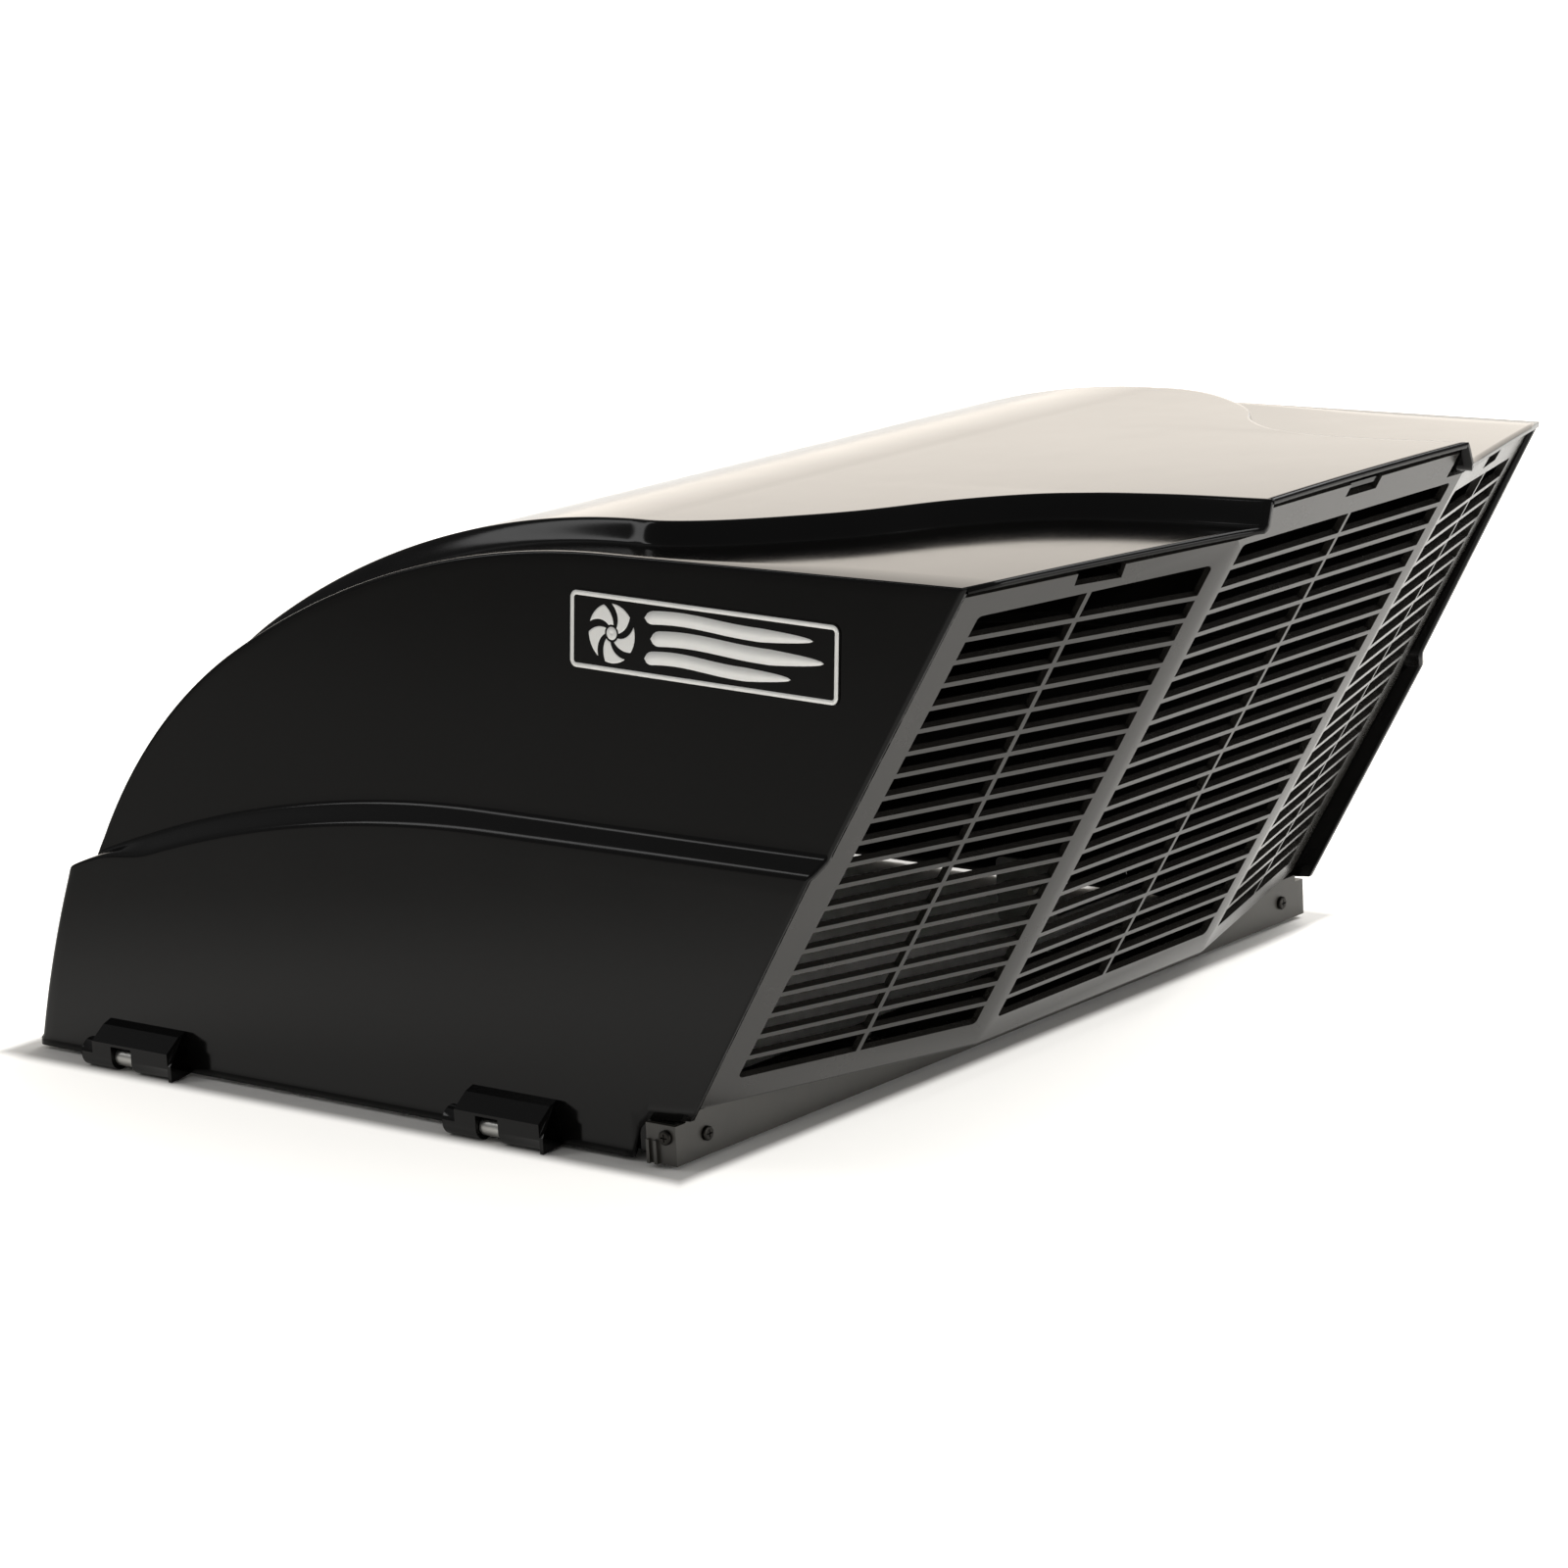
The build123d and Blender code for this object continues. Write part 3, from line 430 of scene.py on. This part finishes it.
def buildHood():
    skin, keep, roofRowCount, footRow = hoodHalf()
    rows, cols = skin.shape[:2]
    halfFaces = gridFaces(rows, cols)[keep.ravel()]
    mirrored = skin * np.array([1, -1, 1])
    points = [skin.reshape(-1, 3), mirrored.reshape(-1, 3)]
    faces = [halfFaces, halfFaces[:, ::-1] + rows * cols]
    # front ledge and front wall: the last station carried across, at the roof's own places across
    across = skin[:roofRowCount, -1, 1] / skin[roofRowCount - 1, -1, 1]
    across = np.concatenate([-across[::-1], across[1:]])
    last = skin[footRow:, -1]
    wide = (len(last), len(across))
    grid = np.stack([np.broadcast_to(last[:, None, 0], wide), last[:, None, 1] * across[None],
                     np.broadcast_to(last[:, None, 2], wide)], axis=-1)
    faces.append(gridFaces(len(last), len(across), 2 * rows * cols))
    points.append(grid.reshape(-1, 3))
    piece = meshObject("hood_skin", toFrame(np.concatenate(points)), np.concatenate(faces), "cover",
                       hoodPlastic)
    weld(piece, Vector((0.1, 0.0, hoodHigh.z)), Vector((0, 0, 1)), 38)
    thick = piece.modifiers.new("wall thickness", "SOLIDIFY")
    thick.thickness = hood["wall"] / 1000
    thick.offset = -1
    thick.use_even_offset = True
    thick.use_rim = True
    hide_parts("hood_shell")
    return piece


hoodSkin = buildHood()
print("hood skin made:", len(hoodSkin.data.polygons), "faces")


# Pieces softened from their CAD shapes
# boxes in mm, low and high along x, y and z, round the hinge housings, the sill lugs and the lip's hooks
fittings = {
    "edge": 0.7, "clear": 0.05, "skirtFace": (291.6, 292.6), "housing": (-36, 42, 291.9, 309, -3, 27.5),
    "lug": (-46, -3, 261, 291.5, 4, 22.6), "sideHook": (150, 250, 165, 196, 298, 316.5),
    "centreHook": (200, 250, -14, 14, 315, 332),
}


def loosePart(node, boxes=None):
    # A welded copy of a CAD node's mesh, or of only those faces that lie wholly in one of the boxes. Faces in
    # the skirt's outer face are left out of such a copy, because the skin stands for them.
    bm = bmesh.new()
    bm.from_mesh(nodes[node].data)
    bmesh.ops.remove_doubles(bm, verts=bm.verts, dist=mergeGap)
    furthest = hoodHigh.y - fittings["clear"] / 1000
    for v in bm.verts:
        v.co.y = max(-furthest, min(furthest, v.co.y))
    if boxes is not None:
        place = np.array([v.co[:] for v in bm.verts]) * 1000 - np.array([sillFace, 0.0, rimLevel])
        inner, outer = fittings["skirtFace"]
        flush = (np.abs(place[:, 1]) > inner) & (np.abs(place[:, 1]) < outer)
        kept = set()
        for low, high in boxes:
            inside = np.all((place >= low) & (place <= high), axis=1)
            kept.update(f for f in bm.faces if all(inside[v.index] for v in f.verts)
                        and not all(flush[v.index] for v in f.verts))
        bmesh.ops.delete(bm, geom=[f for f in bm.faces if f not in kept], context="FACES")
        rim = [e for e in bm.edges if e.is_boundary]
        bmesh.ops.holes_fill(bm, edges=rim, sides=0)
        bmesh.ops.recalc_face_normals(bm, faces=bm.faces)
    bmesh.ops.dissolve_limit(bm, angle_limit=math.radians(0.5), verts=bm.verts, edges=bm.edges,
                             delimit={"NORMAL"})
    return bm


def softened(node, name, body, material, radius, boxes=None):
    bm = loosePart(node, boxes)
    mesh = bpy.data.meshes.new(name)
    bm.to_mesh(mesh)
    bm.free()
    mesh.materials.append(material)
    mesh.shade_smooth()
    mesh.set_sharp_from_angle(angle=math.radians(32))
    piece = bpy.data.objects.new(name, mesh)
    bpy.context.scene.collection.objects.link(piece)
    edge = piece.modifiers.new("moulded edge", "BEVEL")
    edge.width = radius / 1000
    edge.segments = 2
    edge.limit_method = "ANGLE"
    edge.angle_limit = math.radians(32)
    edge.harden_normals = False
    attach(piece, body)
    if boxes is None:
        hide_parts(node)


def fittingBoxes():
    def sides(x0, x1, y0, y1, z0, z1):
        return [((x0, y0, z0), (x1, y1, z1)), ((x0, -y1, z0), (x1, -y0, z1))]
    x0, x1, y0, y1, z0, z1 = fittings["housing"]
    boxes = [b for m in hood["slotMiddles"] for b in sides(m + x0, m + x1, y0, y1, z0, z1)]
    boxes += sides(*fittings["lug"]) + sides(*fittings["sideHook"])
    return boxes + sides(*fittings["centreHook"])[:1]


softened("hood_shell", "hood_fittings", "cover", hoodPlastic, fittings["edge"],
         fittingBoxes())
softened("rear_grille", "louvre_moulding", "cover", grillePlastic, 0.3)
softened("rear_sill", "sill_moulding", "cover", sillPlastic, 0.5)
print("fittings, louvre and sill softened")

# the CAD nodes that stay, each with its own finish
finishes = {"sill_screws": blackZinc, "floor_screws": zincSteel, "clip_pin": zincSteel,
            "bracket_bolts": zincSteel, "bracket_washers": zincSteel, "bracket": bracketSteel,
            "side_label": hoodPlastic}
for name, node in nodes.items():
    start = next((key for key in finishes if name.startswith(key)), None)
    if start is not None:
        node.data.materials.clear()
        node.data.materials.append(finishes[start])
print("finishes given")

# Label print
# Printed vinyl: opaque white ink, slightly chalky, on a glossy black film.
labelInk = mouldedPlastic("white label ink", {"colour": "#f1f1ee", "dusty": "#dcdad4", "dust": 0.35,
    "ior": 1.45, "specular": 0.4, "rippleSize": 20, "rippleDepth": 0.01, "grainSize": 0.5, "grainDepth": 0.05,
    "hazeSize": 9, "roughLow": 0.4, "roughHigh": 0.55})
mark = {"length": 178, "height": 42, "corner": 5, "margin": 0.9, "outline": 2.4, "middle": (18, 272),
        "tilt": 1.6, "film": 0.5, "ink": 0.12, "rotor": (-60, 0), "hub": 3.4, "blade": 15.5, "blades": 5,
        "streaks": ((-38, 72, 10.5, 7.0), (-34, 79, 0.0, 8.0), (-38, 58, -10.5, 7.0)), "wave": 2.0}


def ringOutline(inset, count=12):
    # rounded rectangle: four quarter circles joined by straight sides
    a, b = mark["length"] / 2 - inset, mark["height"] / 2 - inset
    r = max(mark["corner"] - inset, 0.6)
    turn = np.linspace(0, math.pi / 2, count)
    quarter = np.stack([np.cos(turn), np.sin(turn)], axis=1) * r
    corners = []
    for k, (sx, sy) in enumerate(((1, 1), (-1, 1), (-1, -1), (1, -1))):
        c, s = math.cos(k * math.pi / 2), math.sin(k * math.pi / 2)
        turned = quarter @ np.array([[c, s], [-s, c]])
        corners.append(turned + np.array([sx * (a - r), sy * (b - r)]))
    return np.concatenate(corners)


def markShapes():
    # flat grids of the print: an outline ring, fan blades swept in polar form, the hub and wavy air streaks
    outer, inner = ringOutline(mark["margin"]), ringOutline(mark["margin"] + mark["outline"])
    grids = [np.stack([np.vstack([outer, outer[:1]]), np.vstack([inner, inner[:1]])])]
    r = np.linspace(mark["hub"] + 1.2, mark["blade"], 12)[:, None]
    for k in range(mark["blades"]):
        start = 2 * math.pi * k / mark["blades"] + 0.055 * (r - mark["hub"])
        a = start + np.linspace(0, 1, 10)[None] * (0.62 + 0.018 * r)
        grids.append(np.stack([mark["rotor"][0] + r * np.cos(a), mark["rotor"][1] + r * np.sin(a)], axis=-1))
    a = np.linspace(0, 2 * math.pi, 33)[None]
    rr = np.array([[0.01], [mark["hub"]]])
    grids.append(np.stack([mark["rotor"][0] + rr * np.cos(a), mark["rotor"][1] + rr * np.sin(a)], axis=-1))
    for x0, x1, y, thick in mark["streaks"]:
        t = np.linspace(0, 1, 60)
        x = x0 + (x1 - x0) * t
        middle = y + mark["wave"] * np.sin(t * 2 * math.pi) * (1 - t)
        half = thick / 2 * np.sqrt(np.clip(np.minimum(t / 0.04, (1 - t) / 0.30), 0, 1))
        grids.append(np.stack([np.stack([x, middle + half], -1), np.stack([x, middle - half], -1)]))
    return grids


def printLabel(sideName, side):
    x, z = mark["middle"]
    slope = (hood["waistHalf"] - hood["roofHalf"]) / (hood["roofHeight"] - hood["waistHeight"])
    out = np.array([0, side, slope]) / math.hypot(1, slope)
    along = np.array([-side, 0, 0.0])
    up = np.cross(out, along)
    tilt = math.radians(mark["tilt"]) * side
    u = along * math.cos(tilt) + up * math.sin(tilt)
    v = up * math.cos(tilt) - along * math.sin(tilt)
    middle = np.array([x, side * upperHalf(z), z])
    points, faces, first = [], [], 0
    for grid in markShapes():
        rows, cols = grid.shape[:2]
        flat = grid.reshape(-1, 2)
        if side > 0:
            flat = flat * np.array([-1, 1])  # the fan leads towards the nose on both sides
        points.append(middle + flat[:, :1] * u + flat[:, 1:] * v + out * (mark["film"] + mark["ink"]))
        faces.append(gridFaces(rows, cols, first))
        first += rows * cols
    piece = meshObject("label_print_" + sideName, toFrame(np.concatenate(points)), np.concatenate(faces),
                       "cover", labelInk)
    bm = bmesh.new()
    bm.from_mesh(piece.data)
    bmesh.ops.remove_doubles(bm, verts=bm.verts, dist=mergeGap)
    bm.normal_update()
    wrong = [f for f in bm.faces if f.normal.dot(Vector(out)) < 0]
    bmesh.ops.reverse_faces(bm, faces=wrong)
    bm.to_mesh(piece.data)
    bm.free()
    ink = piece.modifiers.new("ink", "SOLIDIFY")
    ink.thickness = (mark["ink"] + 0.05) / 1000
    ink.offset = -1


printLabel("left", -1)
printLabel("right", 1)
print("labels printed")

# Camera, floor and light
view = {"place": (1.77307, -2.20233, 0.77441), "turn": 39.46, "tilt": 12.77, "roll": 3.0, "lens": 117.06}


def aimCamera():
    a, e, r = (math.radians(view[k]) for k in ("turn", "tilt", "roll"))
    back = Vector((math.sin(a) * math.cos(e), -math.cos(a) * math.cos(e), math.sin(e)))
    right = Vector((math.cos(a), math.sin(a), 0))
    up = back.cross(right)
    camX = math.cos(r) * right - math.sin(r) * up
    camY = math.sin(r) * right + math.cos(r) * up
    camera = bpy.data.objects.new("camera", bpy.data.cameras.new("camera"))
    bpy.context.scene.collection.objects.link(camera)
    camera.matrix_world = Matrix.Translation(view["place"]) @ Matrix((camX, camY, back)).transposed().to_4x4()
    camera.data.lens = view["lens"]
    camera.data.sensor_width = 36
    camera.data.clip_end = 60
    bpy.context.scene.camera = camera


aimCamera()

# A white floor whose emission is painted light, no lamp: it glows behind the cover and to its right and lifts
# the cover's cast shadow round it to white. The glow is a smooth step of 0.6 x + 0.8 y, painted darker to the
# front left so the side wall mirrors a dimmer floor than the one seen round the cover, times a second step
# that leaves the floor unlit under the cover itself and fades it in over a narrow band round its rim (painted
# shade).
floor = {"half": 45.0, "colour": "#f4f2ee", "across": (0.6, 0.8, 0.0), "dim": -0.95, "lit": -0.5, "glow": 0.8,
         "middle": ((sillHigh.x + hoodLow.x) / 2, 0, 0), "shadeIn": 1.035, "shadeOut": 1.09,
         "shade": (2 / (sillHigh.x - hoodLow.x), 1000 / hood["skirtHalf"], 0)}
floorMesh = bpy.data.meshes.new("floor")
size = floor["half"]
corners = [(-size, -size, 0), (size, -size, 0), (size, size, 0), (-size, size, 0)]
floorMesh.from_pydata(corners, [], [(0, 1, 2, 3)])
floorMaterial, floorTree, floorShader, floorPlace = newMaterial("white floor with painted glow", {"Roughness": 0.9,
    "Base Color": linear(floor["colour"]), "Emission Color": linear(floor["colour"])})
lean = addNode(floorTree, "ShaderNodeVectorMath", {"operation": "DOT_PRODUCT", 1: floor["across"]},
               {0: floorPlace}).outputs["Value"]
near = addNode(floorTree, "ShaderNodeVectorMath", {"operation": "SUBTRACT", 1: floor["middle"]},
               {0: floorPlace}).outputs[0]
near = addNode(floorTree, "ShaderNodeVectorMath", {"operation": "MULTIPLY", 1: floor["shade"]},
               {0: near}).outputs[0]
near = addNode(floorTree, "ShaderNodeVectorMath", {"operation": "ABSOLUTE"}, {0: near}).outputs[0]
sides = addNode(floorTree, "ShaderNodeSeparateXYZ", links={0: near}).outputs
square = addNode(floorTree, "ShaderNodeMath", {"operation": "MAXIMUM"}, {0: sides[0], 1: sides[1]}).outputs[0]
outside = addNode(floorTree, "ShaderNodeMapRange", {"interpolation_type": "SMOOTHSTEP",
                  "From Min": floor["shadeIn"], "From Max": floor["shadeOut"]}, {"Value": square}).outputs[0]
glow = addNode(floorTree, "ShaderNodeMapRange", {"interpolation_type": "SMOOTHSTEP", "From Min": floor["dim"],
               "From Max": floor["lit"], "To Min": 0.0, "To Max": floor["glow"]}, {"Value": lean}).outputs[0]
glow = addNode(floorTree, "ShaderNodeMath", {"operation": "MULTIPLY"}, {0: glow, 1: outside}).outputs[0]
# painted glow: the floor's emission, which stands in for light and lifts the cover's shadow
floorTree.links.new(glow, floorShader.inputs["Emission Strength"])
floorMesh.materials.append(floorMaterial)
floorPiece = bpy.data.objects.new("floor", floorMesh)
bpy.context.scene.collection.objects.link(floorPiece)


def softLight(name, place, target, width, height, power, colour="#ffffff"):
    light = bpy.data.lights.new(name, "AREA")
    light.shape = "RECTANGLE"
    light.size, light.size_y = width, height
    light.energy = power
    light.color = linear(colour)[:3]
    holder = bpy.data.objects.new(name, light)
    bpy.context.scene.collection.objects.link(holder)
    holder.location = place
    holder.rotation_euler = (Vector(place) - Vector(target)).to_track_quat("Z", "Y").to_euler()


softLight("rear panel", (-10.8, 12.6, 4.05), (0, 0, 0.3), 27.0, 7.8, 1120, "#fff5e8")
softLight("overhead softbox", (1.0, 2.0, 3.0), (0.2, 0.4, 0.1), 2.6, 2.6, 95)
softLight("right panel", (3.6, 0.9, 0.8), (0.2, 0, 0.15), 2.6, 1.5, 55)
softLight("edge strip", (-1.9, -1.7, 1.7), (-0.1, -0.2, 0.1), 0.4, 1.5, 8)
world = bpy.data.worlds.new("studio air")
bpy.context.scene.world = world
world.use_nodes = True
air = world.node_tree.nodes["Background"]
air.inputs["Color"].default_value = linear("#ffffff")
air.inputs["Strength"].default_value = 0.28
bpy.context.scene.view_settings.view_transform = "Standard"
print("camera, floor and light placed")
